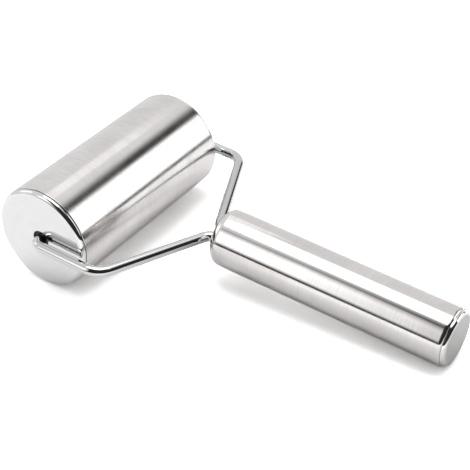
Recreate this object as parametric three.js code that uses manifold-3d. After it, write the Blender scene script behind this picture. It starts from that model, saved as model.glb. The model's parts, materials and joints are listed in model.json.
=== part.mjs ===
// Dough hand roller: a hollow steel roller that spins between two bent wire arms on a round steel handle.
// Millimetres, +Z up. The tool lies as it is put down, on its roller and on the end of its handle.
// +X runs from the roller to the end of the handle, and +Y to the right of whoever holds it.
import * as THREE from "three";
import { mergeVertices } from "three/addons/utils/BufferGeometryUtils.js";
import Module from "manifold-3d";

// Roller: a tube closed by two pressed end caps
const rollerDiameter = 50;
const rollerLength = 104.9; // over both end caps
const rollerWall = 1.2;
const capSheet = 1.2;
const capShoulderWidth = 2.2;
const capShoulderDepth = 1.95;
const capLand = 0.25; // straight rim between the shoulder and the seam
const capSkirtLength = 9;

// Bearings inside the roller: a welded cup and a flanged plastic bush at each end
const bushWall = 2.4;
const bushLength = 12; // of the barrel that sits in the cup
const bushFlangeWidth = 2;
const bushFlangeThickness = 1.5;
const cupWall = 1.2;
const cupFlangeWidth = 4.5;
const cupFlangeThickness = 1.2;

// What keeps each arm's pin in its bush
const washerWidth = 3.6;
const washerThickness = 1;
const pinRingWidth = 3;
const pinRingThickness = 0.8;
const pinTipLength = 1.6; // of the pin past its ring

// Arms: round wire, bent at the pin, the elbow and the neck
const wireDiameter = 5;
const armStandoff = 1.75; // between an arm and the face of its end cap
const pinBend = 3.7; // bends are measured at the wire's centre
const elbowBend = 10;
const neckBend = 6.5;
const elbowClearance = 11.1; // from the roller's surface to the corner of the elbow
const yokeDepth = 27.8; // from the corner of the elbow to the face of the nose
const tangGap = 2; // between the two arms inside the handle

// Handle: a tube with a rounded nose, a core that grips the arms, and an end cap
const handleDiameter = 27.4;
const handleLength = 120.3; // from the face of the nose to the face of the end cap
const handleWall = 1.2;
const noseRounding = 4.8;
const noseLand = 3.2; // straight rim between the rounding and the seam
const noseSheet = 1.5;
const noseSpigotLength = 5;
const coreLength = 34;
const coreRingWidth = 4;
const coreRingThickness = 1;
const lockPinDiameter = 4;
const lockPinInset = 9; // from each end of the core
const lockPinShortfall = 0.6; // of each end below the core's surface
const tangShortfall = 1; // of each arm's end inside the core's back face
const tubeEdgeWidth = 0.9; // of the tube's rounded back edge, across the handle
const tubeEdgeDepth = 1.8; // and along it
const endCapShoulderWidth = 1.5;
const endCapShoulderDepth = 1.8;
const endCapFaceThickness = 2;
const endCapSpigotLength = 11;
const sealDiameter = 1.8;
const sealSideGap = 0.2; // on each side of the seal in its groove
const sealGrooveWall = 1.5; // left under the groove

// Gaps between pieces
const pressGap = 0.15; // around a piece that is pressed into another
const seatGap = 0.1; // between two faces that meet
const runningClearance = 0.1; // between a pin and its bush
const endFloat = 0.3; // between a turning face and a still one
const pinHoleGap = 1.8; // around a pin in the hole of its end cap
const wireHoleGap = 0.4; // around a wire in the face of the nose
const cutOverrun = 1; // of a cutter past each end of its cut
const mergeDistance = 1e-4;

// Facets around each kind of round piece, a multiple of four so that a flat lies at the bottom
const rollerFacets = 60;
const handleFacets = 48;
const bearingFacets = 32;
const wireFacets = 12;
const pinFacets = 16;

// Steps along a rounded shoulder, along an arm and around the seal's section
const shoulderSteps = 4;
const wireSteps = 80;
const sealSteps = 8;

const rollerRadius = rollerDiameter / 2;
const handleRadius = handleDiameter / 2;
const wireRadius = wireDiameter / 2;
const lockPinRadius = lockPinDiameter / 2;
const tangOffset = (wireDiameter + tangGap) / 2;
const endCapRadius = handleRadius - tubeEdgeWidth;

// Distances from the roller's axis, along the handle
const elbowReach = rollerRadius + elbowClearance;
const handleStart = elbowReach + yokeDepth;
const handleEnd = handleStart + handleLength;
const endCapSeam = handleEnd - endCapShoulderDepth;
const tubeEnd = endCapSeam - seatGap;
const tubeEdge = tubeEnd - tubeEdgeDepth;

// The handle slopes down from the roller's axis until the back edge of its tube touches the table.
const handleSlope =
  Math.asin(rollerRadius / Math.hypot(tubeEdge, handleRadius)) - Math.atan2(handleRadius, tubeEdge);

const steel = { brushed: 0xb9b6b3, polished: 0xd6d6d6, plain: 0xa4a5a6 };
const materials = {
  brushedSteel: new THREE.MeshStandardMaterial({ color: steel.brushed, roughness: 0.32, metalness: 1 }),
  polishedSteel: new THREE.MeshStandardMaterial({ color: steel.polished, roughness: 0.08, metalness: 1 }),
  plainSteel: new THREE.MeshStandardMaterial({ color: steel.plain, roughness: 0.4, metalness: 1 }),
  bearingPlastic: new THREE.MeshStandardMaterial({ color: 0x1c1c1d, roughness: 0.45, metalness: 0 }),
  corePlastic: new THREE.MeshStandardMaterial({ color: 0x2a2b2d, roughness: 0.6, metalness: 0 }),
  sealRubber: new THREE.MeshStandardMaterial({ color: 0x1b1b1c, roughness: 0.8, metalness: 0 }),
};

const wasm = await Module();
wasm.setup();

function solidOf(geometry) {
  const bare = geometry.clone().deleteAttribute("normal").deleteAttribute("uv");
  const merged = mergeVertices(bare, mergeDistance);
  const vertProperties = merged.attributes.position.array;
  const triVerts = new Uint32Array(merged.index.array);
  return new wasm.Manifold(new wasm.Mesh({ numProp: 3, vertProperties, triVerts }));
}

// The first geometry with the others cut out of it.
function cut(geometry, ...tools) {
  const left = tools.reduce((solid, tool) => solid.subtract(solidOf(tool)), solidOf(geometry));
  const { vertProperties, triVerts } = left.getMesh();
  const made = new THREE.BufferGeometry();
  made.setAttribute("position", new THREE.BufferAttribute(vertProperties, 3));
  made.setIndex(new THREE.BufferAttribute(triVerts, 1));
  made.computeVertexNormals();
  return made;
}

// A profile of [radius, height] points turned about the Y axis, with a flat at the bottom.
function turned(profile, facets) {
  const points = profile.map(([radius, height]) => new THREE.Vector2(radius, height));
  return new THREE.LatheGeometry(points, facets, Math.PI / facets);
}

// A ring with a rectangular section between two radii and two heights.
function ring(inner, outer, low, high, facets) {
  return turned([[inner, low], [outer, low], [outer, high], [inner, high], [inner, low]], facets);
}

// A quarter of an ellipse as profile points, from its flat end to its upright end.
function shoulder(radius, height, width, depth) {
  const curve = new THREE.EllipseCurve(radius - width, height + depth, width, depth, -Math.PI / 2, 0);
  return curve.getPoints(shoulderSteps).map((point) => [point.x, point.y]);
}

// The radius that a faceted bore needs for a round piece of this radius to turn in it.
function boreRadius(radius, facets) {
  return radius / Math.cos(Math.PI / facets);
}

// The same profile looking the other way along the axis.
function flipped(profile) {
  return profile.map(([radius, height]) => [radius, -height]).reverse();
}

function named(name, geometry, material) {
  const mesh = new THREE.Mesh(geometry, material);
  mesh.name = name;
  return mesh;
}

// Heights inside a roller end, measured inwards from the outer face of its cap
const capRim = capShoulderDepth + capLand;
const bearingSeat = capSheet + seatGap;
const cupEnd = bearingSeat + bushLength;
const bushFlangeStart = cupEnd + seatGap;
const bushEnd = bushFlangeStart + bushFlangeThickness;
const washerStart = bushEnd + endFloat;
const pinRingStart = washerStart + washerThickness + seatGap;
const pinTip = pinRingStart + pinRingThickness + pinTipLength;

const pinBore = boreRadius(wireRadius + runningClearance, bearingFacets);
const bushRadius = pinBore + bushWall;
const cupBore = bushRadius + pressGap;
const cupRadius = cupBore + cupWall;

function rollerTube() {
  const halfLength = rollerLength / 2 - capRim - seatGap;
  return ring(rollerRadius - rollerWall, rollerRadius, -halfLength, halfLength, rollerFacets);
}

function endCap() {
  const hole = wireRadius + pinHoleGap;
  const skirt = rollerRadius - rollerWall - pressGap;
  const skirtEnd = capRim + capSkirtLength;
  return turned(
    [
      [hole, 0],
      ...shoulder(rollerRadius, 0, capShoulderWidth, capShoulderDepth),
      [rollerRadius, capRim],
      [skirt, capRim],
      [skirt, skirtEnd],
      [skirt - capSheet, skirtEnd],
      [skirt - capSheet, capSheet],
      [hole, capSheet],
      [hole, 0],
    ],
    rollerFacets,
  );
}

function bearingCup() {
  const flange = cupRadius + cupFlangeWidth;
  const flangeEnd = bearingSeat + cupFlangeThickness;
  return turned(
    [
      [cupBore, bearingSeat],
      [flange, bearingSeat],
      [flange, flangeEnd],
      [cupRadius, flangeEnd],
      [cupRadius, cupEnd],
      [cupBore, cupEnd],
      [cupBore, bearingSeat],
    ],
    bearingFacets,
  );
}

function bush() {
  const flange = cupBore + bushFlangeWidth;
  return turned(
    [
      [pinBore, bearingSeat],
      [bushRadius, bearingSeat],
      [bushRadius, bushFlangeStart],
      [flange, bushFlangeStart],
      [flange, bushEnd],
      [pinBore, bushEnd],
      [pinBore, bearingSeat],
    ],
    bearingFacets,
  );
}

function thrustWasher() {
  return ring(pinBore, pinBore + washerWidth, washerStart, washerStart + washerThickness, bearingFacets);
}

function pinRing() {
  return ring(pinBore, pinBore + pinRingWidth, pinRingStart, pinRingStart + pinRingThickness, bearingFacets);
}

// A path through the corners, with each inner corner rounded to its bend.
function bentPath(corners, bends) {
  const path = new THREE.Path();
  path.moveTo(corners[0].x, corners[0].y);
  bends.forEach((bend, i) => {
    const [before, corner, after] = corners.slice(i, i + 3);
    const arriving = corner.clone().sub(before).normalize();
    const leaving = after.clone().sub(corner).normalize();
    const turn = Math.sign(arriving.cross(leaving));
    const angle = Math.acos(arriving.dot(leaving));
    const start = corner.clone().addScaledVector(arriving, -bend * Math.tan(angle / 2));
    const towardsCentre = new THREE.Vector2(-arriving.y, arriving.x).multiplyScalar(turn);
    const centre = start.clone().addScaledVector(towardsCentre, bend);
    const from = start.clone().sub(centre).angle();
    path.lineTo(start.x, start.y);
    path.absarc(centre.x, centre.y, bend, from, from + turn * angle, turn < 0);
  });
  const last = corners[corners.length - 1];
  path.lineTo(last.x, last.y);
  return path;
}

// A flat path seen as a curve in space, in the plane of the yoke.
class YokeCurve extends THREE.Curve {
  constructor(path) {
    super();
    this.path = path;
  }

  getPoint(share, target = new THREE.Vector3()) {
    const point = this.path.getPoint(share);
    return target.set(point.x, point.y, 0);
  }
}

function disc(radius, facets) {
  const points = Array.from({ length: facets }, (unused, i) => {
    const angle = ((i + 0.5) / facets) * 2 * Math.PI;
    return new THREE.Vector2(radius * Math.cos(angle), radius * Math.sin(angle));
  });
  return new THREE.Shape(points);
}

// A rod standing in the plane of the yoke, as a pin or as a cutter for one.
function uprightRod(radius, length, along) {
  const rod = new THREE.CylinderGeometry(radius, radius, length, pinFacets);
  return rod.rotateX(Math.PI / 2).translate(along, 0, 0);
}

// A rod along the handle, as a cutter for a wire's hole.
function wireCutter(radius, from, to, sideways) {
  const length = to - from + 2 * cutOverrun;
  const rod = new THREE.CylinderGeometry(radius, radius, length, bearingFacets);
  return rod.rotateZ(-Math.PI / 2).translate((from + to) / 2, sideways, 0);
}

const tubeBore = handleRadius - handleWall;
const spigotRadius = tubeBore - pressGap;
const noseSeam = handleStart + noseRounding + noseLand;
const coreStart = noseSeam + noseSpigotLength + seatGap;
const coreEnd = coreStart + coreLength;
const lockPinPlaces = [coreStart + lockPinInset, coreEnd - lockPinInset];
const tangPlaces = [-tangOffset, tangOffset];

// The corner of the neck, from the roller's axis, for a bend that ends at the face of the nose. With s the
// tangent of half the bend's angle, the slant's own slope gives (rise - 2 bend) s s + 2 depth s = rise.
function neckReach(rise) {
  const root = Math.sqrt(yokeDepth ** 2 + (rise - 2 * neckBend) * rise);
  const halfAngleTangent = rise / (yokeDepth + root);
  return handleStart - neckBend * halfAngleTangent;
}

// The left arm. The right one is the same wire turned over.
function arm() {
  const sideways = rollerLength / 2 + armStandoff + wireRadius;
  const corners = [
    new THREE.Vector2(0, pinTip - rollerLength / 2),
    new THREE.Vector2(0, -sideways),
    new THREE.Vector2(elbowReach, -sideways),
    new THREE.Vector2(neckReach(sideways - tangOffset), -tangOffset),
    new THREE.Vector2(coreEnd - tangShortfall, -tangOffset),
  ];
  const path = bentPath(corners, [pinBend, elbowBend, neckBend]);
  const wire = new THREE.ExtrudeGeometry(disc(wireRadius, wireFacets), {
    steps: wireSteps,
    extrudePath: new YokeCurve(path),
  });
  const notches = lockPinPlaces.map((along) =>
    uprightRod(lockPinRadius + pressGap, handleDiameter, along),
  );
  return cut(wire, ...notches);
}

// Pieces turned about Y that lie along the handle, whose heights are distances from the roller's axis.
function alongHandle(geometry) {
  return geometry.rotateZ(-Math.PI / 2);
}

function handleNose() {
  const inside = handleStart + noseSheet;
  const spigotEnd = noseSeam + noseSpigotLength;
  const spigotBore = spigotRadius - noseSheet;
  const nose = turned(
    [
      [0, handleStart],
      ...shoulder(handleRadius, handleStart, noseRounding, noseRounding),
      [handleRadius, noseSeam],
      [spigotRadius, noseSeam],
      [spigotRadius, spigotEnd],
      [spigotBore, spigotEnd],
      [spigotBore, handleStart + noseRounding],
      [handleRadius - noseRounding, inside],
      [0, inside],
    ],
    handleFacets,
  );
  const hole = wireRadius + wireHoleGap;
  const holes = tangPlaces.map((sideways) => wireCutter(hole, handleStart, inside, sideways));
  return cut(alongHandle(nose), ...holes);
}

function handleTube() {
  const start = noseSeam + seatGap;
  return alongHandle(
    turned(
      [
        [tubeBore, start],
        [handleRadius, start],
        ...flipped(shoulder(handleRadius, -tubeEnd, tubeEdgeWidth, tubeEdgeDepth)),
        [tubeBore, tubeEnd],
        [tubeBore, start],
      ],
      handleFacets,
    ),
  );
}

function handleCore() {
  const core = turned(
    [
      [0, coreStart],
      [spigotRadius, coreStart],
      [spigotRadius, coreEnd],
      [0, coreEnd],
    ],
    handleFacets,
  );
  const bore = boreRadius(wireRadius + pressGap, bearingFacets);
  const bores = tangPlaces.map((sideways) => wireCutter(bore, coreStart, coreEnd, sideways));
  const pinHole = boreRadius(lockPinRadius + pressGap, pinFacets);
  const pinHoles = lockPinPlaces.map((along) => uprightRod(pinHole, handleDiameter, along));
  return cut(alongHandle(core), ...bores, ...pinHoles);
}

function lockPin(along) {
  return uprightRod(lockPinRadius, 2 * (spigotRadius - lockPinShortfall), along);
}

function coreRing() {
  const start = coreEnd + seatGap;
  const inner = spigotRadius - coreRingWidth;
  return alongHandle(ring(inner, spigotRadius, start, start + coreRingThickness, handleFacets));
}

const sealMiddle = endCapSeam - endCapSpigotLength / 2;
const grooveFloor = tubeBore - sealDiameter;
const grooveHalfWidth = sealDiameter / 2 + sealSideGap;

function handleEndCap() {
  const spigotEnd = endCapSeam - endCapSpigotLength;
  const spigotBore = grooveFloor - sealGrooveWall;
  return alongHandle(
    turned(
      [
        [0, handleEnd - endCapFaceThickness],
        [spigotBore, handleEnd - endCapFaceThickness],
        [spigotBore, spigotEnd],
        [spigotRadius, spigotEnd],
        [spigotRadius, sealMiddle - grooveHalfWidth],
        [grooveFloor, sealMiddle - grooveHalfWidth],
        [grooveFloor, sealMiddle + grooveHalfWidth],
        [spigotRadius, sealMiddle + grooveHalfWidth],
        [spigotRadius, endCapSeam],
        ...flipped(shoulder(endCapRadius, -handleEnd, endCapShoulderWidth, endCapShoulderDepth)),
        [0, handleEnd],
      ],
      handleFacets,
    ),
  );
}

// A rubber ring squeezed between the floor of its groove and the bore of the tube.
function endCapSeal() {
  const floor = grooveFloor + seatGap;
  const roof = tubeBore - seatGap;
  const section = new THREE.EllipseCurve(
    (floor + roof) / 2,
    sealMiddle,
    (roof - floor) / 2,
    sealDiameter / 2,
  );
  const profile = section.getPoints(sealSteps).map((point) => [point.x, point.y]);
  return alongHandle(turned(profile, handleFacets));
}

// Each side's pieces are made for the left and turned over for the right.
const sides = [
  { name: "left", turn: 0, place: -rollerLength / 2 },
  { name: "right", turn: Math.PI, place: rollerLength / 2 },
];

function rollerGroup() {
  const group = new THREE.Group();
  group.add(named("roller_tube", rollerTube(), materials.brushedSteel));
  for (const side of sides) {
    const end = new THREE.Group();
    end.position.y = side.place;
    end.rotation.x = side.turn;
    end.add(named(`${side.name}_end_cap`, endCap(), materials.polishedSteel));
    end.add(named(`${side.name}_bearing_cup`, bearingCup(), materials.plainSteel));
    end.add(named(`${side.name}_bush`, bush(), materials.bearingPlastic));
    group.add(end);
  }
  return group;
}

function yokeGroup() {
  const group = new THREE.Group();
  group.rotation.y = handleSlope;
  for (const side of sides) {
    const armSide = new THREE.Group();
    armSide.rotation.x = side.turn;
    armSide.add(named(`${side.name}_arm`, arm(), materials.polishedSteel));
    const pinEnd = new THREE.Group();
    pinEnd.position.y = side.place;
    pinEnd.rotation.x = side.turn;
    pinEnd.add(named(`${side.name}_thrust_washer`, thrustWasher(), materials.plainSteel));
    pinEnd.add(named(`${side.name}_pin_ring`, pinRing(), materials.plainSteel));
    group.add(armSide, pinEnd);
  }
  return group;
}

function handleGroup() {
  const group = new THREE.Group();
  group.rotation.y = handleSlope;
  group.add(named("handle_nose", handleNose(), materials.brushedSteel));
  group.add(named("handle_tube", handleTube(), materials.brushedSteel));
  group.add(named("handle_core", handleCore(), materials.corePlastic));
  group.add(named("front_lock_pin", lockPin(lockPinPlaces[0]), materials.plainSteel));
  group.add(named("rear_lock_pin", lockPin(lockPinPlaces[1]), materials.plainSteel));
  group.add(named("core_retaining_ring", coreRing(), materials.plainSteel));
  group.add(named("handle_end_cap", handleEndCap(), materials.polishedSteel));
  group.add(named("end_cap_seal", endCapSeal(), materials.sealRubber));
  return group;
}

// The origin lies on the table, under the middle of the whole tool.
const endFaceRadius = endCapRadius - endCapShoulderWidth;
const furthest = handleEnd * Math.cos(handleSlope) + endFaceRadius * Math.sin(handleSlope);

const handRoller = new THREE.Group();
handRoller.position.set((rollerRadius - furthest) / 2, 0, rollerRadius);
handRoller.add(rollerGroup(), yokeGroup(), handleGroup());

export default handRoller;
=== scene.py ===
"""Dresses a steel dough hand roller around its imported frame.

The roller spins between two bent wire arms on a round handle. Each operator below makes one piece, or a group
of like pieces, in metres, where the frame puts it.
"""

import json
import math

import bmesh
import bpy
from bpy.props import FloatProperty, FloatVectorProperty, PointerProperty
from mathutils import Matrix, Vector


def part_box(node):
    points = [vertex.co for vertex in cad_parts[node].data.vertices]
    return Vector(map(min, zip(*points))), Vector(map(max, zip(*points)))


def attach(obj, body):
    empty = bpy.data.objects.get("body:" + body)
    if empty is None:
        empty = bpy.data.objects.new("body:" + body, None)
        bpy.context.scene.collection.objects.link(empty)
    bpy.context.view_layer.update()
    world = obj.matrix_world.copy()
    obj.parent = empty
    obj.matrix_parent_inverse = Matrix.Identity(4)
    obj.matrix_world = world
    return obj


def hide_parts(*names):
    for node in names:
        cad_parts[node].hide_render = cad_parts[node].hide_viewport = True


bl_info = {
    "name": "Dough Hand Roller",
    "version": (1, 0, 0),
    "blender": (4, 5, 0),
    "location": "3D View > Sidebar > Hand Roller",
    "description": "Builds a steel dough hand roller, piece by piece, around its packed frame",
    "category": "Add Mesh",
}

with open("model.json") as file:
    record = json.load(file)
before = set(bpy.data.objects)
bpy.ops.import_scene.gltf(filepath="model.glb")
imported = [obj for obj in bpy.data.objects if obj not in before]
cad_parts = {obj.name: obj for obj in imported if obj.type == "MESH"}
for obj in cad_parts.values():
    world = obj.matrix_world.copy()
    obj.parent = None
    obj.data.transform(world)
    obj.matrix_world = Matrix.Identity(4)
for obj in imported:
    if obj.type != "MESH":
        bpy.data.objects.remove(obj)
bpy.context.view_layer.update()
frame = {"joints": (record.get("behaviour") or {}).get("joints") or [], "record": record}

ROLLER_BODY = "roller"
HANDLE_BODY = "handle_frame"
SIDES = {"left": -1, "right": 1}

# Places that the frame gives: the roller's axis, the handle's direction and the face that ends the handle
spin = next(joint for joint in frame["joints"] if joint["name"] == "roller_spin")
end_face = next(mount for mount in frame["record"]["mounts"] if mount["name"] == "handle_end_face")
ROLLER_CENTRE = Vector(spin["pos_m"])
ROLLER_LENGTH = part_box("right_end_cap")[1].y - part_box("left_end_cap")[0].y
HANDLE_DIRECTION = Vector(end_face["axis"]).normalized()
HANDLE_END = (Vector(end_face["pos_m"]) - ROLLER_CENTRE).dot(HANDLE_DIRECTION)
ACROSS = Vector((0.0, 1.0, 0.0))

# Facets around a turned piece that shows, around one inside, and around a wire
OUTER_FACETS = 256
INNER_FACETS = 96
WIRE_FACETS = 48
# Points on a rounded edge, on a shoulder or around the seal's section, and on a bend of the wire
EDGE_STEPS = 6
SHOULDER_STEPS = 20
BEND_STEPS = 28
# Edges that turn by more than this shade as sharp
SHARP_ANGLE = math.radians(40)
# A facet of the end cap that looks along the handle this well lies on its flat face
FACE_ON = math.cos(math.radians(1))
# Extra points this far from the ends of a profile's long runs keep their shading flat
HOLD = 0.0001
LONG_RUN = 4 * HOLD

# Names of the UV map on turned pieces, and of the attributes on the wire and on its path
TURNED_UV = "turned"
WIRE_ATTRIBUTE = "along_wire"
BEND_ATTRIBUTE = "bend"

# Turned finishes: width of a ring of grain, roughness of the bright and the dark rings, how far the gloss
# is drawn out across the rings, and depth of the grain
ROLLER_SATIN = {"grain": 0.00012, "roughness": (0.12, 0.24), "anisotropy": 0.6, "depth": 0.000004}
HANDLE_SATIN = {"grain": 0.00006, "roughness": (0.07, 0.14), "anisotropy": 0.6, "depth": 0.000003}
CAP_POLISH = {"grain": 0.0008, "roughness": (0.05, 0.1), "anisotropy": 0.3, "depth": 0.000001}
RIM_POLISH = {"grain": 0.0003, "roughness": (0.06, 0.1), "anisotropy": 0.2, "depth": 0.000002}
FACE_BLAST = {"grain": 0.0002, "roughness": (0.42, 0.5), "anisotropy": 0.2, "depth": 0.000008}
AS_CUT = {"grain": 0.0004, "roughness": (0.3, 0.45), "anisotropy": 0.4, "depth": 0.00002}
# Reach of fine and broad grain around a piece, how much wider the broad grain is, and smudges to a metre
FINE_REACH = 0.006
BROAD_REACH = 0.012
BROAD_RATIO = 3
SMUDGES = 55.0
# Sum of both grains and the smudges, from the darkest ring to the brightest, and strength of the grain's bump
GRAIN_SPAN = (1.1, 1.9)
GRAIN_BUMP = 0.5

# Lines that the die draws along the wire, and smudges on it, with their sizes both ways across it and along
DIE_LINES = (0.0004, 0.0004, 0.03)
DIE_SPAN = (0.35, 0.65)
DIE_DULLING = 0.92
DIE_DEPTH = 0.000008
DIE_BUMP = 0.25
WIRE_SMUDGES = (0.004, 0.004, 0.009)
WIRE_ROUGHNESS = (0.02, 0.05)

# Moulded finishes: mean roughness, size of the skin's texture, and its depth
ACETAL = {"roughness": 0.42, "skin_size": 0.0002, "depth": 0.00001}
NYLON = {"roughness": 0.5, "skin_size": 0.0003, "depth": 0.00003}
RUBBER = {"roughness": 0.6, "skin_size": 0.0002, "depth": 0.00001}
# How much roughness varies over the skin, its bump, and the size and shade of the marks that the flow leaves
SKIN_SWING = 0.06
SKIN_BUMP = 0.4
FLOW_RATIO = 20
FLOW_SHADE = 0.85
# The range that most of a noise lies in
NOISE_SPAN = (0.3, 0.7)

# Softboxes as flat panels: the way each one lies, then along two axes the slopes, as seen from the object, at
# which it starts, is full, starts to fade and ends
SOFTBOXES = {
    "right": {
        "faces": (0.94, 0.342, 0),
        "spans": (((-0.342, 0.94, 0), (0.14, 0.18, 1.4, 1.5)), ((0, 0, 1), (0.02, 0.06, 0.9, 1.13))),
    },
    "front": {
        "faces": (-0.769, -0.64, 0),
        "spans": (((0.64, -0.769, 0), (-0.05, 0.35, 0.45, 1.0)), ((0, 0, 1), (0.04, 0.24, 0.95, 1.9))),
    },
    "overhead": {
        "faces": (0, 0, 1),
        "spans": (((1, 0, 0), (-0.425, -0.4, 0.2, 0.33)), ((0, 1, 0), (-0.34, -0.1, 0.2, 0.6))),
    },
    "left": {
        "faces": (-1, 0, 0),
        "spans": (((0, -1, 0), (-0.1, 0.05, 0.55, 0.75)), ((0, 0, 1), (0.12, 0.3, 0.85, 1.1))),
    },
}
# A direction looks towards a softbox where its share that way is more than this
PANEL_AHEAD = 0.01
# Backdrop: the ways that its sheet overhead, its sheet behind and its cut edge lie, and the shares of a
# direction along each at which the paper starts and is full
OVERHEAD_SHEET = ((-0.7, -0.44, 0.566), (-0.06, 0.08))
BACK_SHEET = ((-1.0, 1.0, 0.25), (0.585, 0.69))
CUT_EDGE = ((-0.4, 0.917, -0.35), (-0.6, -0.42))
WHITE = (1.0, 1.0, 1.0, 1.0)
# Bands of the table over which the painted shade and light that the metal shows of it change: beside the
# roller's left end along Y, then under the roller and before the handle along X
CAP_BAND = (-0.05, 0.0)
ROLLER_BAND = (-0.11, -0.05)
NOSE_BAND = (-0.04, 0.0)
CLIP_START = 0.01


def axis_frame(start, direction):
    """A frame at a point, with its +Z along a direction."""
    return Matrix.Translation(start) @ direction.to_track_quat("Z", "Y").to_matrix().to_4x4()


# Frames of turned pieces, with +Z along the roller from its middle, or along the handle from the roller's
# axis, and the frame of the arms, with +X along the handle and +Y across
ROLLER_AXIS = axis_frame(ROLLER_CENTRE, ACROSS)
HANDLE_AXIS = axis_frame(ROLLER_CENTRE, HANDLE_DIRECTION)
YOKE_TURN = Matrix((HANDLE_DIRECTION, ACROSS, HANDLE_DIRECTION.cross(ACROSS))).transposed()
YOKE = Matrix.Translation(ROLLER_CENTRE) @ YOKE_TURN.to_4x4()


def length(name, description, default):
    """A length in metres as a property."""
    return FloatProperty(
        name=name, description=description, default=default, min=0.0, unit="LENGTH", precision=5
    )


def tint(name, description, default):
    """A linear colour as a property."""
    return FloatVectorProperty(
        name=name, description=description, default=default, size=3, min=0.0, max=1.0, subtype="COLOR"
    )


def level(name, description, default):
    """A plain factor as a property."""
    return FloatProperty(name=name, description=description, default=default, min=0.0)


def position(name, description, default):
    """A point in metres, from the roller's centre, as a property."""
    return FloatVectorProperty(
        name=name, description=description, default=default, subtype="XYZ", unit="LENGTH"
    )


def angle(name, description, degrees):
    """An angle, given in degrees, as a property."""
    return FloatProperty(
        name=name, description=description, default=math.radians(degrees), subtype="ANGLE"
    )


class RollerSizes(bpy.types.PropertyGroup):
    """The roller's tube and its pressed end caps."""

    diameter: length("Diameter", "Outside of the roller", 0.05)
    length: length("Length", "Over both end caps", ROLLER_LENGTH)
    wall: length("Wall", "Thickness of the tube", 0.0012)
    cap_sheet: length("Cap Sheet", "Thickness of an end cap", 0.0012)
    shoulder_width: length("Shoulder Width", "Of a cap's rounded rim, across its face", 0.0022)
    shoulder_depth: length("Shoulder Depth", "Of a cap's rounded rim, along the roller", 0.00195)
    cap_land: length("Cap Land", "Straight rim between shoulder and seam", 0.00025)
    skirt_length: length("Skirt Length", "Of the cap inside the tube", 0.009)
    rim_inset: length("Rim Inset", "Of a cap's rim below the tube's surface", 0.0003)
    seam_gap: length("Seam Gap", "Between a cap's rim and the tube", 0.0003)
    seam_rounding: length("Seam Rounding", "Broken edge on both sides of the seam", 0.00024)


class BearingSizes(bpy.types.PropertyGroup):
    """The bush, its cup, and what keeps the arm's pin in it."""

    bush_wall: length("Bush Wall", "Thickness of the bush's barrel", 0.0024)
    bush_length: length("Bush Length", "Of the barrel in its cup", 0.012)
    bush_flange_width: length("Bush Flange Width", "Past the cup's bore", 0.002)
    bush_flange: length("Bush Flange", "Thickness of the bush's flange", 0.0015)
    cup_wall: length("Cup Wall", "Thickness of the cup's sleeve", 0.0012)
    cup_flange_width: length("Cup Flange Width", "Past the sleeve", 0.0045)
    cup_flange: length("Cup Flange", "Thickness of the cup's flange", 0.0012)
    washer_width: length("Washer Width", "From bore to rim", 0.0036)
    washer: length("Washer", "Thickness of the thrust washer", 0.001)
    ring_width: length("Ring Width", "From bore to rim", 0.003)
    ring: length("Ring", "Thickness of the pin's ring", 0.0008)
    pin_tip: length("Pin Tip", "Of the pin past its ring", 0.0016)


class ArmSizes(bpy.types.PropertyGroup):
    """The two bent wire arms."""

    wire: length("Wire", "Diameter of the wire", 0.005)
    standoff: length("Standoff", "Between an arm and its end cap", 0.00175)
    pin_bend: length("Pin Bend", "Radius at the wire's centre", 0.0037)
    elbow_bend: length("Elbow Bend", "Radius at the wire's centre", 0.01)
    neck_bend: length("Neck Bend", "Radius at the wire's centre", 0.0065)
    elbow_clearance: length("Elbow Clearance", "From the roller's surface to the elbow's corner", 0.0111)
    tang_gap: length("Tang Gap", "Between the arms inside the handle", 0.002)


class HandleSizes(bpy.types.PropertyGroup):
    """The handle's nose, tube, end cap and core."""

    diameter: length("Diameter", "Outside of the handle", 0.0274)
    length: length("Length", "From the nose's face to the end cap's", 0.1203)
    wall: length("Wall", "Thickness of the tube", 0.0012)
    nose_rounding: length("Nose Rounding", "Radius of the nose's edge", 0.0048)
    nose_land: length("Nose Land", "Straight rim between rounding and seam", 0.0032)
    nose_sheet: length("Nose Sheet", "Thickness of the nose", 0.0015)
    nose_spigot: length("Nose Spigot", "Length inside the tube", 0.005)
    nose_gap: length("Nose Gap", "Between the nose and the tube", 0.000025)
    core: length("Core", "Length of the core that grips the arms", 0.034)
    core_ring_width: length("Core Ring Width", "From bore to rim", 0.004)
    core_ring: length("Core Ring", "Thickness of the ring behind the core", 0.001)
    lock_pin: length("Lock Pin", "Diameter of a lock pin", 0.004)
    lock_pin_rounding: length("Lock Pin Rounding", "Of its ends", 0.0005)
    lock_pin_inset: length("Lock Pin Inset", "From each end of the core", 0.009)
    lock_pin_shortfall: length("Lock Pin Shortfall", "Of each end below the core's surface", 0.0006)
    tang_shortfall: length("Tang Shortfall", "Of an arm's end inside the core", 0.001)
    tube_edge_width: length("Tube Edge Width", "Of the tube's rounded back edge, across the handle", 0.0009)
    tube_edge_depth: length("Tube Edge Depth", "Of the tube's rounded back edge, along the handle", 0.0018)
    cap_shoulder_width: length("Cap Shoulder Width", "Of the end cap's rounded rim, across its face", 0.0015)
    cap_shoulder_depth: length("Cap Shoulder Depth", "Of the end cap's rounded rim, along the handle", 0.0018)
    cap_face: length("Cap Face", "Thickness of the end cap's face", 0.002)
    cap_spigot: length("Cap Spigot", "Length inside the tube", 0.011)
    seal: length("Seal", "Diameter of the seal's section", 0.0018)
    seal_side_gap: length("Seal Side Gap", "On each side of the seal in its groove", 0.0002)
    groove_wall: length("Groove Wall", "Left under the seal's groove", 0.0015)
    seam_rounding: length("Seam Rounding", "Broken edge on both sides of the end seam", 0.00018)


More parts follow.
